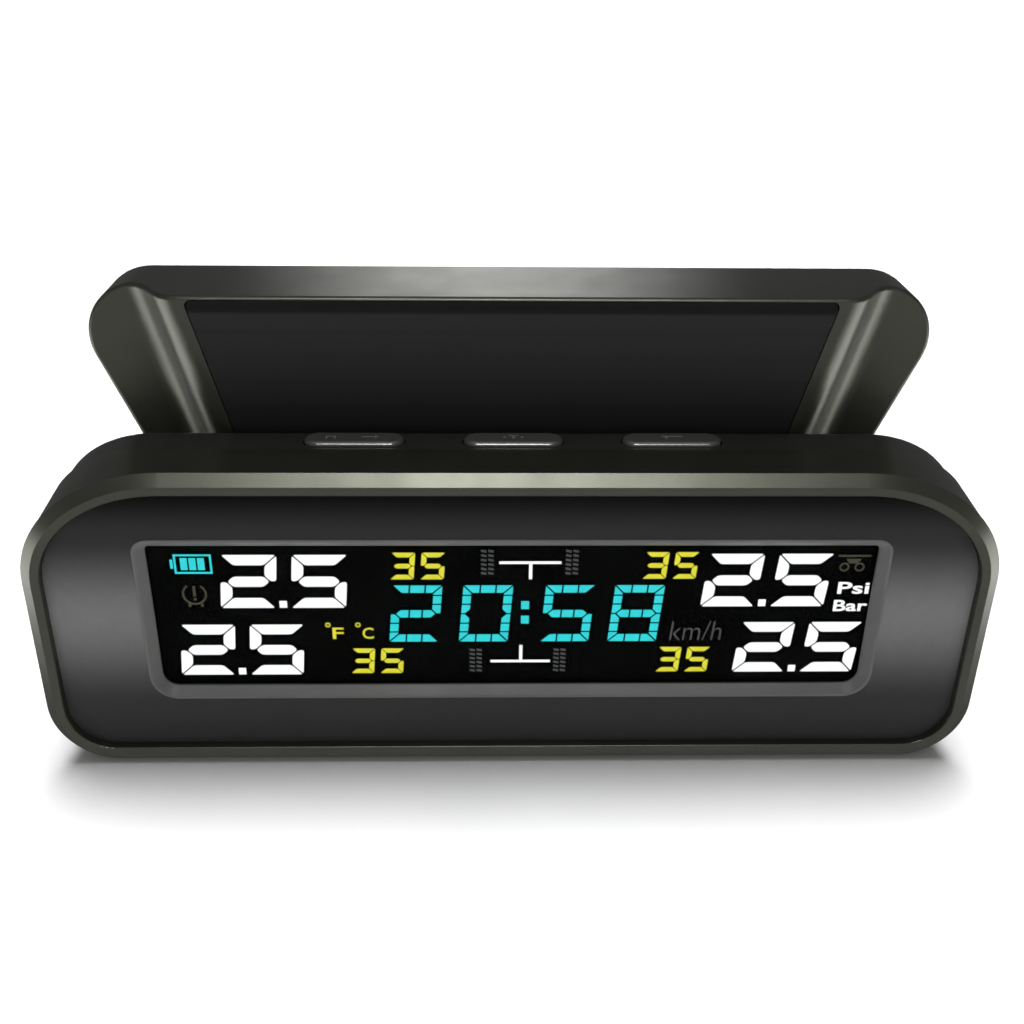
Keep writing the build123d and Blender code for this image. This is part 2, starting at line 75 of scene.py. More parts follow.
# The display's window. The LCD is larger by the first two values, and the foot corners are the rounder ones.
LCD_PAST_W = 2.5 * MM
LCD_PAST_H = 2.0 * MM
WINDOW_FOOT_R = 1.9 * MM
WINDOW_TOP_R = 0.5 * MM
PANEL_LOW, PANEL_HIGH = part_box("lcd_panel")
GLASS_Y = PANEL_LOW.y
WINDOW_W = PANEL_HIGH.x - PANEL_LOW.x - LCD_PAST_W
WINDOW_H = PANEL_HIGH.z - PANEL_LOW.z - LCD_PAST_H
WINDOW_MIDDLE = (PANEL_LOW.z + PANEL_HIGH.z) / 2
WINDOW_TOP = PANEL_HIGH.z - LCD_PAST_H / 2
INK = 0.04 * MM

# The window's trim
TRIM_SLOPE = 1.05 * MM
TRIM_DEPTH = 1.0 * MM
TRIM_THICK = 0.10 * MM

# Display layout, in millimetres right of and below the window's top middle. A digit's size is its width,
# height and thickness, its pitch runs from one to the next, and its gap parts its segments.
PRESSURE_DIGIT = (6.7, 7.4, 1.55)
PRESSURE_PITCH = 8.3
PRESSURE_GAP = 0.16
TEMPERATURE_DIGIT = (2.9, 3.7, 0.72)
TEMPERATURE_PITCH = 3.55
TEMPERATURE_GAP = 0.1
CLOCK_DIGIT = (6.1, 8.1, 1.2)
CLOCK_GAP = 0.2
CLOCK_TOP = 5.75
COLON = (0.9, 1.85)
COLON_DOTS = (8.05, 10.1)
PRESSURES = [(-34.9, 1.6), (-40.6, 11.2), (22.3, 1.5), (27.0, 11.0)]
AXLES = [(1.95, 2.75, 2.75, 5.0), (0.95, 16.65, 14.3, 16.65)]
TEMPERATURES = [(-14.7, 1.35), (-19.9, 14.7), (15.1, 1.3), (17.5, 14.6)]
DEGREES = [("F", -21.8), ("C", -18.2)]
DEGREES_TOP = 11.75
CLOCK = [("2", -15.1), ("0", -6.7), ("5", 3.1), ("8", 11.35)]
TIRES = [(-3.9, 1.0), (6.05, 1.0), (-5.3, 14.8), (4.95, 14.8)]
SEGMENTS = {"0": "abcdef", "2": "abged", "3": "abgcd", "5": "afgcd", "8": "abcdefg"}
SLANT = 0.08

# Grip pad: the plain CAD pad's corners and taper, with ribs standing on a thinner skirt
PAD_CORNER = 3.0 * MM
PAD_TAPER = 28.5 / 41.5
PAD_SKIRT = 0.30 * MM
PAD_EDGE = (0.15 * MM, 0.10 * MM)  # inwards, and down from the skirt's face
RIBS = 16
RIB_R = 0.55 * MM
RIB_MARGIN = 2.4 * MM
RIB_SHORT = 2.2 * MM
RIB_END = [(0.0, 0.15), (0.25 * MM, 0.8), (0.6 * MM, 1.0)]  # in from the end, share of the full rise

# Key marks: bars as left, front, right and back, in millimetres from the middle of the key's top
KEY_MARKS = {
    "left": [(-3.4, 0.1, -2.2, 0.3), (-3.4, -0.5, -3.2, 0.1), (-2.4, -0.5, -2.2, 0.1), (0.9, 0.0, 3.0, 0.2),
             (2.5, -0.4, 2.7, 0.5)],
    "middle": [(-1.2, -0.1, -0.9, 0.2), (0.9, -0.1, 1.2, 0.2), (-0.2, -0.3, 0.2, 0.5),
               (-0.6, 0.4, 0.6, 0.6)],
    "right": [(-1.2, 0.2, 1.3, 0.45), (-0.8, -0.3, -0.5, 0.2)],
}
MARK_RISE = 0.03 * MM


def srgb(r, g, b):
    """A linear colour from 0-255 display values."""
    def lin(v):
        v = v / 255
        return v / 12.92 if v <= 0.04045 else ((v + 0.055) / 1.055) ** 2.4
    return (lin(r), lin(g), lin(b), 1.0)


# Materials


def new_material(name):
    mat = bpy.data.materials.new(name)
    mat.use_nodes = True
    tree = mat.node_tree
    return mat, tree, tree.nodes["Principled BSDF"]


def node(tree, kind, inputs=(), **props):
    made = tree.nodes.new(kind)
    for key, value in props.items():
        setattr(made, key, value)
    for key, value in dict(inputs).items():
        made.inputs[key].default_value = value
    return made


def object_noise(tree, scale, detail=3.0, rough=0.5, stretch=(1, 1, 1)):
    """Noise in the part's own frame, so it rides with the piece."""
    where = node(tree, "ShaderNodeTexCoord")
    sized = node(tree, "ShaderNodeMapping", {"Scale": stretch})
    tree.links.new(where.outputs["Object"], sized.inputs["Vector"])
    noise = node(tree, "ShaderNodeTexNoise", {"Scale": scale, "Detail": detail, "Roughness": rough})
    tree.links.new(sized.outputs["Vector"], noise.inputs["Vector"])
    return noise.outputs["Fac"]


def ramp(tree, value, stops):
    """A colour ramp from (position, colour) stops."""
    made = node(tree, "ShaderNodeValToRGB")
    points = made.color_ramp.elements
    while len(points) < len(stops):
        points.new(0.5)
    for point, (position, colour) in zip(points, stops):
        point.position = position
        point.color = colour
    tree.links.new(value, made.inputs["Fac"])
    return made.outputs["Color"]


def ranged(tree, value, low, high, start=0.3, end=0.7):
    """A value between start and end, spread over low to high."""
    limits = {"From Min": start, "From Max": end, "To Min": low, "To Max": high}
    made = node(tree, "ShaderNodeMapRange", limits)
    tree.links.new(value, made.inputs["Value"])
    return made.outputs["Result"]


def shade(colour, factor):
    return (colour[0] * factor, colour[1] * factor, colour[2] * factor, 1.0)


def mottled(tree, colour, scale, low, high):
    """The colour, unevenly darker and lighter between two factors."""
    stops = [(0.3, shade(colour, low)), (0.7, shade(colour, high))]
    return ramp(tree, object_noise(tree, scale, 4), stops)


def bumped(tree, shader, height, strength, distance):
    bump = node(tree, "ShaderNodeBump", {"Strength": strength, "Distance": distance})
    tree.links.new(height, bump.inputs["Height"])
    tree.links.new(bump.outputs["Normal"], shader.inputs["Normal"])


def moulded(name, colour, rough, metallic=0.0, specular=0.5, grain=2600, depth=0.012, variation=0.10,
            coat=0.0, coat_rough=0.1):
    """Moulded or painted plastic: fine spark-eroded grain, soft tone and gloss variation."""
    mat, tree, shader = new_material(name)
    tone = mottled(tree, colour, 60, 1 - variation, 1 + variation)
    tree.links.new(tone, shader.inputs["Base Color"])
    gloss = ranged(tree, object_noise(tree, 180, 5), rough * 0.92, rough * 1.08)
    tree.links.new(gloss, shader.inputs["Roughness"])
    shader.inputs["Metallic"].default_value = metallic
    shader.inputs["Specular IOR Level"].default_value = specular
    shader.inputs["Coat Weight"].default_value = coat
    shader.inputs["Coat Roughness"].default_value = coat_rough
    bumped(tree, shader, object_noise(tree, grain, 2), 0.5, depth * MM)
    return mat


def brushed(name, colour, rough, stretch=(1, 30, 1)):
    """Plated or drawn metal with fine directional scratches."""
    mat, tree, shader = new_material(name)
    scratches = object_noise(tree, 400, 6, 0.6, stretch)
    tone = ramp(tree, scratches, [(0.3, shade(colour, 0.8)), (0.7, shade(colour, 1.1))])
    tree.links.new(tone, shader.inputs["Base Color"])
    tree.links.new(ranged(tree, scratches, rough * 0.8, rough * 1.3), shader.inputs["Roughness"])
    shader.inputs["Metallic"].default_value = 1.0
    bumped(tree, shader, scratches, 0.3, 0.01 * MM)
    return mat


def rubber(name, colour):
    """Matte rubber with a fine sandy surface."""
    mat, tree, shader = new_material(name)
    fine = object_noise(tree, 3500, 3)
    tree.links.new(mottled(tree, colour, 90, 0.85, 1.2), shader.inputs["Base Color"])
    tree.links.new(ranged(tree, fine, 0.72, 0.9), shader.inputs["Roughness"])
    shader.inputs["Specular IOR Level"].default_value = 0.25
    bumped(tree, shader, fine, 0.6, 0.03 * MM)
    return mat


def height_in(tree, name):
    """How far up a CAD node's box a point is, from 0 to 1."""
    low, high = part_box(name)
    where = node(tree, "ShaderNodeTexCoord")
    parts = node(tree, "ShaderNodeSeparateXYZ")
    tree.links.new(where.outputs["Object"], parts.inputs["Vector"])
    return ranged(tree, parts.outputs["Z"], 0, 1, low.z, high.z)


def grey(value):
    """A very slightly cool grey."""
    return (value, value, value * 1.01, 1)


def multiplied(tree, colour, by, factor):
    """One colour multiplied by another, in part."""
    mix = node(tree, "ShaderNodeMix", {"Factor": factor}, data_type="RGBA", blend_type="MULTIPLY")
    tree.links.new(colour, mix.inputs["A"])
    tree.links.new(by, mix.inputs["B"])
    return mix.outputs["Result"]


def face_film_painted_sheen(name):
    """Smoked film behind the rim: a painted highlight at mid height, painted shade towards its top and
    bottom edges.
    """
    mat, tree, shader = new_material(name)
    # The height ramp paints the face's highlight and shade into its colour.
    tone = ramp(tree, height_in(tree, "face_panel"), [
        (0.0, grey(0.034)), (0.17, grey(0.042)), (0.53, grey(0.2)), (0.84, grey(0.032)), (1.0, grey(0.001))])
    tone.node.color_ramp.interpolation = "EASE"
    speckle = ramp(tree, object_noise(tree, 900, 3), [(0.3, grey(0.7)), (0.7, grey(1.0))])
    tree.links.new(multiplied(tree, tone, speckle, 0.2), shader.inputs["Base Color"])
    tree.links.new(ranged(tree, object_noise(tree, 220, 4), 0.36, 0.42), shader.inputs["Roughness"])
    shader.inputs["Specular IOR Level"].default_value = 0.1
    bumped(tree, shader, object_noise(tree, 4000, 2), 0.3, 0.005 * MM)
    return mat


def solar_coating_painted_light(name):
    """Dark coated glass, a touch lighter towards its foot as painted light against the display's shade, with
    a darker band along its top and faint lines of the cells' grid.
    """
    mat, tree, shader = new_material(name)
    # The height ramp is a little lighter towards the foot: painted light against the shade of the display in
    # front.
    body = ramp(tree, height_in(tree, "solar_glass"),
                [(0.0, grey(0.034)), (0.45, grey(0.032)), (0.955, grey(0.030)), (0.965, grey(0.010))])
    where = node(tree, "ShaderNodeTexCoord")
    lines = node(tree, "ShaderNodeTexWave", {"Scale": 100.0, "Distortion": 0.0}, bands_direction="Z")
    tree.links.new(where.outputs["Object"], lines.inputs["Vector"])
    fingers = ramp(tree, lines.outputs["Fac"], [(0.0, grey(0.82)), (0.12, grey(1.0))])
    tree.links.new(multiplied(tree, body, fingers, 0.5), shader.inputs["Base Color"])
    tree.links.new(ranged(tree, object_noise(tree, 150, 5), 0.34, 0.42), shader.inputs["Roughness"])
    shader.inputs["Specular IOR Level"].default_value = 0.12
    bumped(tree, shader, object_noise(tree, 1500, 2), 0.2, 0.004 * MM)
    return mat


def clear_lens(name):
    """Clear plastic with a coating that keeps its reflections faint."""
    mat, tree, shader = new_material(name)
    shader.inputs["Base Color"].default_value = (0.86, 0.87, 0.88, 1)
    shader.inputs["Transmission Weight"].default_value = 1.0
    shader.inputs["IOR"].default_value = 1.07
    tree.links.new(ranged(tree, object_noise(tree, 160, 5), 0.0, 0.03), shader.inputs["Roughness"])
    return mat


def lit(name, colour, strength):
    """A display segment that glows, with a faint unevenness."""
    mat, tree, shader = new_material(name)
    shader.inputs["Base Color"].default_value = (0.01, 0.01, 0.01, 1)
    shader.inputs["Roughness"].default_value = 0.5
    glow = ramp(tree, object_noise(tree, 700, 3), [(0.2, shade(colour, 0.9)), (0.8, shade(colour, 1.05))])
    tree.links.new(glow, shader.inputs["Emission Color"])
    shader.inputs["Emission Strength"].default_value = strength
    return mat


OLIVE = (0.078, 0.081, 0.062, 1)
HOUSING = moulded("housing_paint", OLIVE, 0.32, metallic=0.6, specular=0.5)
HOUSING_DARK = moulded("housing_black", srgb(60, 60, 57), 0.34, specular=0.4)
KEYS = moulded("key_plastic", (0.2, 0.2, 0.19, 1), 0.24, metallic=0.4)
SOLAR = solar_coating_painted_light("solar_coating_painted_light")
FACE = face_film_painted_sheen("face_film_painted_sheen")
LENS = clear_lens("lens_clear")
LCD = moulded("lcd_black", (0.0008, 0.0008, 0.0009, 1), 0.3, specular=0.0, grain=6000, depth=0.002)
TRIM = moulded("window_trim", (0.15, 0.15, 0.147, 1), 0.42, specular=0.2)
MARKS = moulded("key_marks", (0.36, 0.36, 0.34, 1), 0.5)
WHITE_PLASTIC = moulded("white_plastic", (0.75, 0.75, 0.73, 1), 0.45)
BOARD = moulded("solder_mask", (0.012, 0.09, 0.04, 1), 0.35, coat=0.4, grain=900, depth=0.03)
CHIP = moulded("chip_epoxy", (0.02, 0.02, 0.021, 1), 0.55)
CELL_WRAP = moulded("cell_wrap", (0.05, 0.12, 0.3, 1), 0.3, coat=0.3)
WAFER = moulded("wafer", (0.008, 0.01, 0.03, 1), 0.2)
STEEL = brushed("plated_steel", (0.42, 0.42, 0.43, 1), 0.32)
RUBBER = rubber("black_rubber", (0.02, 0.02, 0.02, 1))

FINISHES = {
    HOUSING: ["front_bezel", "front_shell", "base_front_shell", "base_back_cover", "hinge_caps",
              "hinge_cheek_left", "hinge_cheek_right"],
    HOUSING_DARK: ["rear_cover"],
    FACE: ["face_panel"],
    LENS: ["screen_lens"],
    LCD: ["lcd_panel"],
    WHITE_PLASTIC: ["light_guide", "reflector_sheet", "lcd_frame", "solar_backsheet"],
    BOARD: ["main_board", "key_board"],
    CHIP: ["board_chips", "buzzer", "switch_housings", "plunger_left", "plunger_middle", "plunger_right"],
    STEEL: ["usb_socket", "antenna", "case_screws", "board_screws", "hinge_screws", "hinge_pins",
            "friction_washers", "base_screws"],
    CELL_WRAP: ["battery_cell"],
    WAFER: ["solar_cells"],
    SOLAR: ["solar_glass"],
    KEYS: ["button_left", "button_middle", "button_right"],
    RUBBER: ["foot_pads", "grip_pad", "battery_pad"],
}
for material, names in FINISHES.items():
    for name in names:
        mesh = nodes[name].data
        mesh.materials.clear()
        mesh.materials.append(material)


# Mesh helpers


def new_piece(name, mesh, material, body):
    """Makes an object of a bmesh, gives it its material and lets it ride on a body."""
    bmesh.ops.recalc_face_normals(mesh, faces=mesh.faces)
    data = bpy.data.meshes.new(name)
    mesh.to_mesh(data)
    mesh.free()
    data.materials.append(material)
    made = bpy.data.objects.new(name, data)
    bpy.context.scene.collection.objects.link(made)
    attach(made, body)
    return made


def loops_to_skin(mesh, loops, closed):
    """Quads between each pair of neighbouring loops, and between the last and the first if closed."""
    rows = [[mesh.verts.new(p) for p in loop] for loop in loops]
    pairs = list(zip(rows, rows[1:]))
    if closed:
        pairs.append((rows[-1], rows[0]))
    for near, far in pairs:
        for i in range(len(near)):
            j = (i + 1) % len(near)
            mesh.faces.new((near[i], near[j], far[j], far[i]))
    return rows


def rounded_box(half_w, low, high, foot_r, top_r, steps=8):
    """A rounded rectangle's points (x, z) seen from the front, anticlockwise from the lower right corner."""
    corners = [(half_w, low, foot_r, -90), (half_w, high, top_r, 0), (-half_w, high, top_r, 90),
               (-half_w, low, foot_r, 180)]
    points = []
    for x, z, r, start in corners:
        cx = x - r if x > 0 else x + r
        cz = z + r if z == low else z - r
        for n in range(steps + 1):
            a = math.radians(start + 90 * n / steps)
            points.append((cx + r * math.cos(a), cz + r * math.sin(a)))
    return points


# Display graphics


def inset(points, gap):
    """A convex outline, drawn in by gap along every edge."""
    count = len(points)
    area = sum(points[i][0] * points[(i + 1) % count][1] - points[(i + 1) % count][0] * points[i][1]
               for i in range(count))
    turn = 1 if area > 0 else -1
    moved = []
    for i in range(count):
        before, here, after = Vector(points[i - 1]), Vector(points[i]), Vector(points[(i + 1) % count])
        a = (here - before).normalized()
        b = (after - here).normalized()
        normal_a = Vector((-a.y, a.x)) * turn
        normal_b = Vector((-b.y, b.x)) * turn
        corner = (normal_a + normal_b).normalized()
        moved.append(here + corner * gap / max(corner.dot(normal_a), 0.25))
    return [tuple(p) for p in moved]


def softened(points, radius):
    """The outline with each corner cut by a three-point curve."""
    made = []
    count = len(points)
    for i in range(count):
        before, here, after = Vector(points[i - 1]), Vector(points[i]), Vector(points[(i + 1) % count])
        back = min(radius, (before - here).length * 0.4)
        ahead = min(radius, (after - here).length * 0.4)
        start = here + (before - here).normalized() * back
        end = here + (after - here).normalized() * ahead
        middle = start * 0.25 + here * 0.5 + end * 0.25
        made += [tuple(start), tuple(middle), tuple(end)]
    return made


def clipped(points, axis, low, high):
    """The part of a convex outline between two values of x (axis 0) or y (axis 1)."""
    for limit, sign in ((low, 1), (high, -1)):
        kept = []
        for i, here in enumerate(points):
            after = points[(i + 1) % len(points)]
            h, a = (here[axis] - limit) * sign, (after[axis] - limit) * sign
            if h >= 0:
                kept.append(here)
            if (h >= 0) != (a >= 0):
                t = h / (h - a)
                kept.append(tuple(here[k] + (after[k] - here[k]) * t for k in (0, 1)))
        points = kept
    return points


class Print:
    """Gathers flat shapes into one thin piece. Sizes are millimetres from the window's top middle."""

    def __init__(self, name, material):
        self.name = name
        self.material = material
        self.mesh = bmesh.new()

    def shape(self, points):
        """A flat shape with a front, a back and sides. One with fewer than three points is skipped."""
        if len(points) < 3:
            return
        front = [self.mesh.verts.new((x * MM, GLASS_Y - INK, WINDOW_TOP - d * MM)) for x, d in points]
        back = [self.mesh.verts.new((x * MM, GLASS_Y - INK / 4, WINDOW_TOP - d * MM)) for x, d in points]
        self.mesh.faces.new(front)
        self.mesh.faces.new(back[::-1])
        for i in range(len(points)):
            j = (i + 1) % len(points)
            self.mesh.faces.new((front[j], front[i], back[i], back[j]))

    def bar(self, x0, d0, x1, d1):
        self.shape([(x0, d0), (x1, d0), (x1, d1), (x0, d1)])

    def done(self):
        new_piece(self.name, self.mesh, self.material, "display")


def segment_outlines(w, h, t):
    """The seven segments of one digit by letter, from its top left corner: width, height and thickness."""
    m = h / 2
    left_top = [(0, 0), (t, t), (t, m - t / 2), (t / 2, m), (0, m)]
    right_top = [(w - x, d) for x, d in left_top]
    left_foot, right_foot = [[(x, h - d) for x, d in points] for points in (left_top, right_top)]
    middle = [(t / 2, m), (t, m - t / 2), (w - t, m - t / 2),
              (w - t / 2, m), (w - t, m + t / 2), (t, m + t / 2)]
    top = [(0, 0), (w, 0), (w - t, t), (t, t)]
    foot = [(x, h - d) for x, d in top]
    return {"a": top, "b": right_top, "c": right_foot, "d": foot, "e": left_foot, "f": left_top, "g": middle}


def digit(ink, figure, x, d, size, gap, blocks=1):
    """One slanted seven-segment digit, each segment whole or in a row of blocks with gaps between them."""
    height, thickness = size[1:]
    outlines = segment_outlines(*size)
    for letter in SEGMENTS[figure]:
        outline = inset(outlines[letter], gap / 2)
        axis = 0 if letter in "adg" else 1
        start, end = min(p[axis] for p in outline), max(p[axis] for p in outline)
        for n in range(blocks):
            low = start + (end - start) * n / blocks + (gap / 2 if n else -gap)
            high = start + (end - start) * (n + 1) / blocks - (gap / 2 if n < blocks - 1 else -gap)
            piece = clipped(outline, axis, low, high) if blocks > 1 else softened(outline, thickness * 0.18)
            ink.shape([(x + px + SLANT * (height - pd), d + pd) for px, pd in piece])


def figures(ink, text, x, d, size, pitch, gap):
    """A row of digits."""
    for n, figure in enumerate(text):
        digit(ink, figure, x + n * pitch, d, size, gap)


def arc(ink, x, d, radius, width, start, end, steps=10):
    """A curved band about a centre, between two angles in degrees, counted from +X towards the top."""
    for n in range(steps):
        a0 = math.radians(start + (end - start) * n / steps)
        a1 = math.radians(start + (end - start) * (n + 1) / steps)
        inner, outer = radius - width / 2, radius + width / 2
        ink.shape([(x + r * math.cos(a), d - r * math.sin(a))
                   for r, a in ((inner, a0), (outer, a0), (outer, a1), (inner, a1))])


def lettering(ink, text, x, d, width, height, weight=0.0, lean=0.0):
    """A word fitted to a box whose top left corner is at x and d."""
    curve = bpy.data.curves.new("lettering", "FONT")
    curve.body = text
    curve.offset = weight
    curve.shear = lean
    curve.extrude = 0.5
    curve.resolution_u = 3
    made = bpy.data.objects.new("lettering", curve)
    bpy.context.scene.collection.objects.link(made)
    seen = made.evaluated_get(bpy.context.evaluated_depsgraph_get())
    data = bpy.data.meshes.new_from_object(seen)
    low = [min(v.co[k] for v in data.vertices) for k in range(3)]
    high = [max(v.co[k] for v in data.vertices) for k in range(3)]
    for v in data.vertices:
        across, up, out = [(v.co[k] - low[k]) / (high[k] - low[k]) for k in range(3)]
        below = d + height * (1 - up)
        v.co = ((x + width * across) * MM, GLASS_Y - INK * (0.25 + 0.75 * out), WINDOW_TOP - below * MM)
    ink.mesh.from_mesh(data)
    bpy.data.objects.remove(made)
    bpy.data.curves.remove(curve)
    bpy.data.meshes.remove(data)


def pressures():
    """Four tire pressures, the two axle lines between them, and their units."""
    ink = Print("lcd_pressures", lit("lit_white", (1, 1, 1, 1), 1.2))
    for x, d in PRESSURES:
        figures(ink, "25", x, d, PRESSURE_DIGIT, PRESSURE_PITCH, PRESSURE_GAP)
        ink.bar(x + 7.05, d + 6.35, x + 7.95, d + 7.3)
    for x, d, top, bottom in AXLES:
        ink.bar(x - 3.7, d - 0.18, x + 3.6, d + 0.18)
        ink.bar(x - 0.2, top, x + 0.2, bottom)
    lettering(ink, "Psi", 38.7, 5.45, 3.8, 1.65, 0.02)
    lettering(ink, "Bar", 38.5, 7.95, 4.1, 1.6, 0.02)
    ink.done()


def temperatures():
    """Four tire temperatures and their units."""
    ink = Print("lcd_temperatures", lit("lit_yellow", srgb(240, 234, 40), 1.0))
    for x, d in TEMPERATURES:
        figures(ink, "35", x, d, TEMPERATURE_DIGIT, TEMPERATURE_PITCH, TEMPERATURE_GAP)
    for letter, x in DEGREES:
        lettering(ink, letter, x, DEGREES_TOP, 1.35, 1.6, 0.01)
        arc(ink, x - 0.5, DEGREES_TOP - 0.4, 0.26, 0.16, 0, 360)
    ink.done()


def battery(ink, left, right, top, bottom, line):
    """A battery's outline with its nose at the left and three bars of charge."""
    ink.bar(left, top, right, top + line)
    ink.bar(left, bottom - line, right, bottom)
    ink.bar(left, top + line, left + line, bottom - line)
    ink.bar(right - line, top + line, right, bottom - line)
    ink.bar(left - 0.45, top + 0.7, left - 0.12, bottom - 0.7)
    for n in range(3):
        ink.bar(left + 0.75 + n, top + 0.5, left + 1.55 + n, bottom - 0.5)


def clock():
    """The time, and the battery's charge, in cyan."""
    ink = Print("lcd_clock", lit("lit_cyan", srgb(16, 226, 232), 1.0))
    for figure, x in CLOCK:
        digit(ink, figure, x, CLOCK_TOP, CLOCK_DIGIT, CLOCK_GAP, blocks=3)
    for d in COLON_DOTS:
        ink.bar(COLON[0], d, COLON[1], d + 1.1)
    battery(ink, -39.7, -35.3, 1.6, 4.2, 0.24)
    ink.done()


def tire_warning(ink, x, d):
    """A tire's section, open at its foot, with an exclamation mark."""
    arc(ink, x, d, 1.35, 0.24, -235, 55, 18)
    for foot in (-0.85, 0.6):
        ink.bar(x + foot, d + 1.3, x + foot + 0.3, d + 1.75)
    ink.bar(x - 0.15, d - 1.1, x + 0.15, d + 0.3)
    ink.bar(x - 0.15, d + 0.55, x + 0.15, d + 0.85)


def trailer(ink):
    """A flat bed on two wheels."""
    ink.bar(38.2, 1.75, 42.1, 2.0)
    for x in (39.1, 40.9):
        arc(ink, x, 3.4, 0.5, 0.2, 0, 360, 14)
    ink.shape([(39.2, 2.3), (41.0, 2.3), (40.6, 2.9), (39.6, 2.9)])


def tire_tread(ink, x, d):
    """Two columns of slanted blocks."""
    for row in range(6):
        for column in (0, 0.85):
            left, top = x + column, d + row * 0.6
            ink.shape([(left, top), (left + 0.65, top + 0.12), (left + 0.65, top + 0.42), (left, top + 0.3)])


def sleeping_icons():
    """Segments that are off: the tire warning, the trailer, the four tires and the speed unit."""
    olive = Print("lcd_icons_olive", lit("dim_olive", srgb(50, 46, 18), 1.0))
    tire_warning(olive, -37.75, 7.0)
    trailer(olive)
    olive.done()
    dim = Print("lcd_icons_grey", lit("dim_grey", srgb(62, 62, 62), 1.0))
    for x, d in TIRES:
        tire_tread(dim, x, d)
    lettering(dim, "km/h", 19.0, 10.95, 6.3, 2.7, -0.012, 0.1)
    dim.done()


pressures()
temperatures()
clock()
sleeping_icons()


# Small pieces


def window_trim():
    """A satin ring that lines the window's sloping edge, with a rounded lip on the face around it."""
    face_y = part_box("face_panel")[0].y
    glass_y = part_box("screen_lens")[0].y
    slope, thick = TRIM_SLOPE, TRIM_THICK
    deep = min(TRIM_DEPTH, glass_y - face_y - 0.1 * MM)
    # Each point: how far outside the window, and how far behind the face
    section = [
        (slope + 0.30 * MM, -0.02 * MM), (slope + 0.22 * MM, -thick), (slope, -thick * 1.1),
        (slope * 0.9, -thick * 0.4), (0.10 * MM, deep - thick), (0.02 * MM, deep - thick * 0.3),
        (0.02 * MM, deep), (0.3 * MM, deep), (slope, 0.10 * MM), (slope + 0.28 * MM, 0.03 * MM)]
    mesh = bmesh.new()
    loops = []
    for grow, back in section:
        low, high = WINDOW_MIDDLE - WINDOW_H / 2 - grow, WINDOW_MIDDLE + WINDOW_H / 2 + grow
        outline = rounded_box(WINDOW_W / 2 + grow, low, high, WINDOW_FOOT_R + grow, WINDOW_TOP_R + grow)
        loops.append([(x, face_y + back, z) for x, z in outline])
    loops_to_skin(mesh, loops, closed=True)
    made = new_piece("window_trim", mesh, TRIM, "display")
    for face in made.data.polygons:
        face.use_smooth = True


def key_mark(key, bars):
    """Small raised marks on top of a key."""
    low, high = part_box("button_" + key)
    x, y = (low.x + high.x) / 2, (low.y + high.y) / 2
    mesh = bmesh.new()
    for left, front, right, back in bars:
        for v in bmesh.ops.create_cube(mesh, size=1.0)["verts"]:
            across = left + (right - left) * (v.co.x + 0.5)
            along = front + (back - front) * (v.co.y + 0.5)
            v.co = (x + across * MM, y + along * MM, high.z + MARK_RISE * v.co.z)
    new_piece("marks_" + key, mesh, MARKS, "key_" + key)


def closed_skin(mesh, loops):
    """A skin over the loops, capped at both ends."""
    rows = loops_to_skin(mesh, loops, closed=False)
    mesh.faces.new(rows[0][::-1])
    mesh.faces.new(rows[-1])


def grip_pad():
    """The base's rubber pad with half-round ribs across it, tapered like the base."""
    low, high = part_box("grip_pad")
    skirt_y = low.y + PAD_SKIRT
    rise = high.y - skirt_y

    def share_at(z):
        """The pad's width at a height, as a share of its width at the top."""
        return PAD_TAPER + (1 - PAD_TAPER) * (z - low.z) / (high.z - low.z)

    def outline(shrink, y):
        points = rounded_box(high.x - shrink, low.z + shrink, high.z - shrink, PAD_CORNER - shrink,
                             PAD_CORNER - shrink, 10)
        return [(x * share_at(z), y, z) for x, z in points]

    mesh = bmesh.new()
    closed_skin(mesh, [outline(0, low.y), outline(0, skirt_y - PAD_EDGE[1]), outline(PAD_EDGE[0], skirt_y)])
    half_round = [(RIB_R * math.cos(a), rise * math.sin(a)) for a in (math.pi * k / 8 for k in range(9))]
    for n in range(RIBS):
        z = low.z + RIB_MARGIN + (high.z - low.z - 2 * RIB_MARGIN) * n / (RIBS - 1)
        half = high.x * share_at(z) - RIB_SHORT
        stations = [(inwards - half, share) for inwards, share in RIB_END]
        stations += [(half - inwards, share) for inwards, share in RIB_END[::-1]]
        closed_skin(mesh, [[(x, skirt_y + up * share, z + across * share) for across, up in half_round]
                           for x, share in stations])
    made = new_piece("grip_pad_ribbed", mesh, RUBBER, "base")
    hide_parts("grip_pad")


window_trim()
for key, bars in KEY_MARKS.items():
    key_mark(key, bars)
grip_pad()


# Studio


def place(name, data, at, towards):
    """A light or card that faces a point."""
    made = bpy.data.objects.new(name, data)
    made.location = at
    made.rotation_euler = (Vector(towards) - Vector(at)).to_track_quat("-Z", "Y").to_euler()
    made.visible_camera = False
    bpy.context.scene.collection.objects.link(made)
    return made


def rectangle(data, w, h):
    """Fills a mesh with one flat rectangle, from half its width and height."""
    data.from_pydata([(-w, -h, 0), (w, -h, 0), (w, h, 0), (-w, h, 0)], [], [(0, 1, 2, 3)])


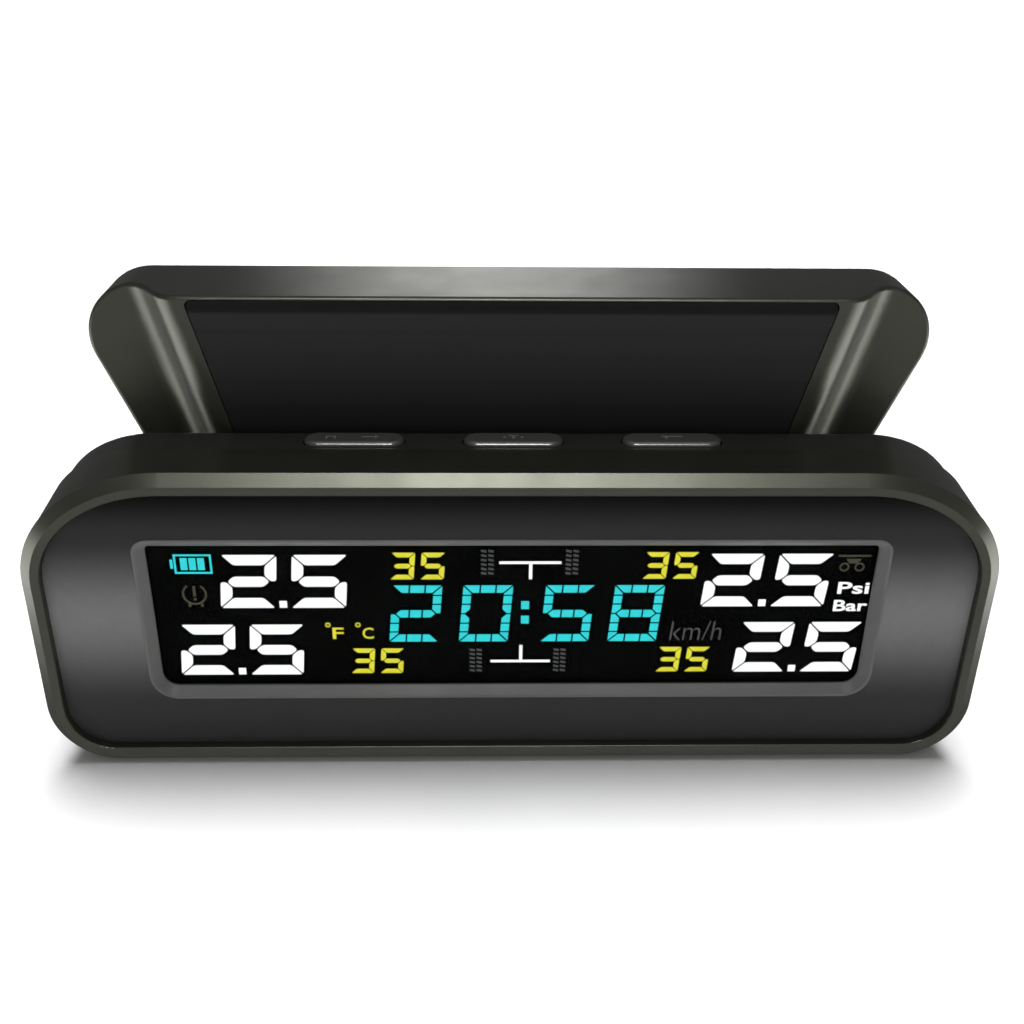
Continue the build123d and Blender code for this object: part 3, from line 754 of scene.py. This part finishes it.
def softbox(name, at, towards, width, height, strength):
    """A glowing card seen in reflections only, whose light fades from its middle to its ends."""
    data = bpy.data.meshes.new(name)
    rectangle(data, width / 2, height / 2)
    mat, tree, shader = new_material(name)
    tree.nodes.remove(shader)
    where = node(tree, "ShaderNodeTexCoord")
    parts = node(tree, "ShaderNodeSeparateXYZ")
    tree.links.new(where.outputs["Object"], parts.inputs["Vector"])
    aside = node(tree, "ShaderNodeMath", operation="ABSOLUTE")
    tree.links.new(parts.outputs["X"], aside.inputs[0])
    limits = {"From Min": 0, "From Max": width / 2, "To Min": strength, "To Max": 0}
    fade = node(tree, "ShaderNodeMapRange", limits, interpolation_type="SMOOTHSTEP")
    tree.links.new(aside.outputs[0], fade.inputs["Value"])
    glow = node(tree, "ShaderNodeEmission")
    tree.links.new(fade.outputs["Result"], glow.inputs["Strength"])
    tree.links.new(glow.outputs[0], tree.nodes["Material Output"].inputs["Surface"])
    data.materials.append(mat)
    card = place(name, data, at, towards)
    card.visible_shadow = False
    card.visible_diffuse = False


def floor():
    """Plain white paper, lit by its own lamp from above and behind so that the shadow falls in front."""
    data = bpy.data.meshes.new("floor")
    rectangle(data, FLOOR_HALF, FLOOR_HALF)
    paper_sheet = bpy.data.objects.new("floor", data)
    paper_sheet.visible_glossy = False
    bpy.context.scene.collection.objects.link(paper_sheet)
    mat, tree, shader = new_material("floor_paper")
    tree.links.new(mottled(tree, (1, 1, 1, 1), 40, 0.86, 0.9), shader.inputs["Base Color"])
    shader.inputs["Roughness"].default_value = 0.9
    shader.inputs["Specular IOR Level"].default_value = 0.1
    data.materials.append(mat)
    lamp = bpy.data.lights.new("floor_lamp", "SUN")
    lamp.energy = FLOOR_LAMP
    lamp.angle = math.radians(FLOOR_LAMP_SPREAD)
    sun = place("floor_lamp", lamp, FLOOR_LAMP_FROM, (0, 0, 0))
    sun.visible_glossy = False
    only_floor = bpy.data.collections.new("lit_by_floor_lamp")
    only_floor.objects.link(paper_sheet)
    sun.light_linking.receiver_collection = only_floor


def backdrop():
    """A white shell all round that only the camera sees, so that low views have no grey horizon."""
    mesh = bmesh.new()
    bmesh.ops.create_icosphere(mesh, subdivisions=4, radius=BACKDROP_R)
    data = bpy.data.meshes.new("backdrop")
    mesh.to_mesh(data)
    mesh.free()
    mat, tree, shader = new_material("backdrop_white")
    tree.nodes.remove(shader)
    glow = node(tree, "ShaderNodeEmission", {"Color": (1, 1, 1, 1), "Strength": WHITE_OUT})
    tree.links.new(glow.outputs[0], tree.nodes["Material Output"].inputs["Surface"])
    data.materials.append(mat)
    shell = bpy.data.objects.new("backdrop", data)
    bpy.context.scene.collection.objects.link(shell)
    shell.visible_diffuse = False
    shell.visible_glossy = False
    shell.visible_transmission = False
    shell.visible_shadow = False


def sky():
    """A dim sky, brighter low in front and straight above."""
    world = bpy.data.worlds.new("studio")
    world.use_nodes = True
    tree = world.node_tree
    background = tree.nodes["Background"]
    background.inputs["Color"].default_value = (1, 1, 1, 1)
    where = node(tree, "ShaderNodeTexCoord")
    low_front = node(tree, "ShaderNodeVectorMath", {1: LOW_FRONT}, operation="DOT_PRODUCT")
    tree.links.new(where.outputs["Generated"], low_front.inputs[0])
    parts = node(tree, "ShaderNodeSeparateXYZ")
    tree.links.new(where.outputs["Generated"], parts.inputs["Vector"])
    total = node(tree, "ShaderNodeMath", operation="ADD")
    tree.links.new(ranged(tree, low_front.outputs["Value"], SKY, SKY_LOW_FRONT, 0.2, 1.0), total.inputs[0])
    tree.links.new(ranged(tree, parts.outputs["Z"], 0, SKY_TOP, 0.75, 1.0), total.inputs[1])
    tree.links.new(total.outputs[0], background.inputs["Strength"])
    bpy.context.scene.world = world


def camera():
    """Close to the display, looking down and a little to the right."""
    data = bpy.data.cameras.new("camera")
    data.lens = CAMERA_LENS
    data.sensor_width = 36
    data.clip_start = 0.005
    made = bpy.data.objects.new("camera", data)
    made.location = CAMERA_AT
    made.rotation_mode = "QUATERNION"
    tilt = Quaternion((1, 0, 0), math.radians(90 - CAMERA_DOWN))
    aside = Quaternion((0, 1, 0), -math.radians(CAMERA_RIGHT))
    made.rotation_quaternion = tilt @ aside
    bpy.context.scene.collection.objects.link(made)
    bpy.context.scene.camera = made


floor()
backdrop()
sky()
for name, (at, towards, width, height, strength) in CARDS.items():
    softbox(name, at, towards, width, height, strength)
camera()
bpy.context.scene.view_settings.view_transform = "Standard"
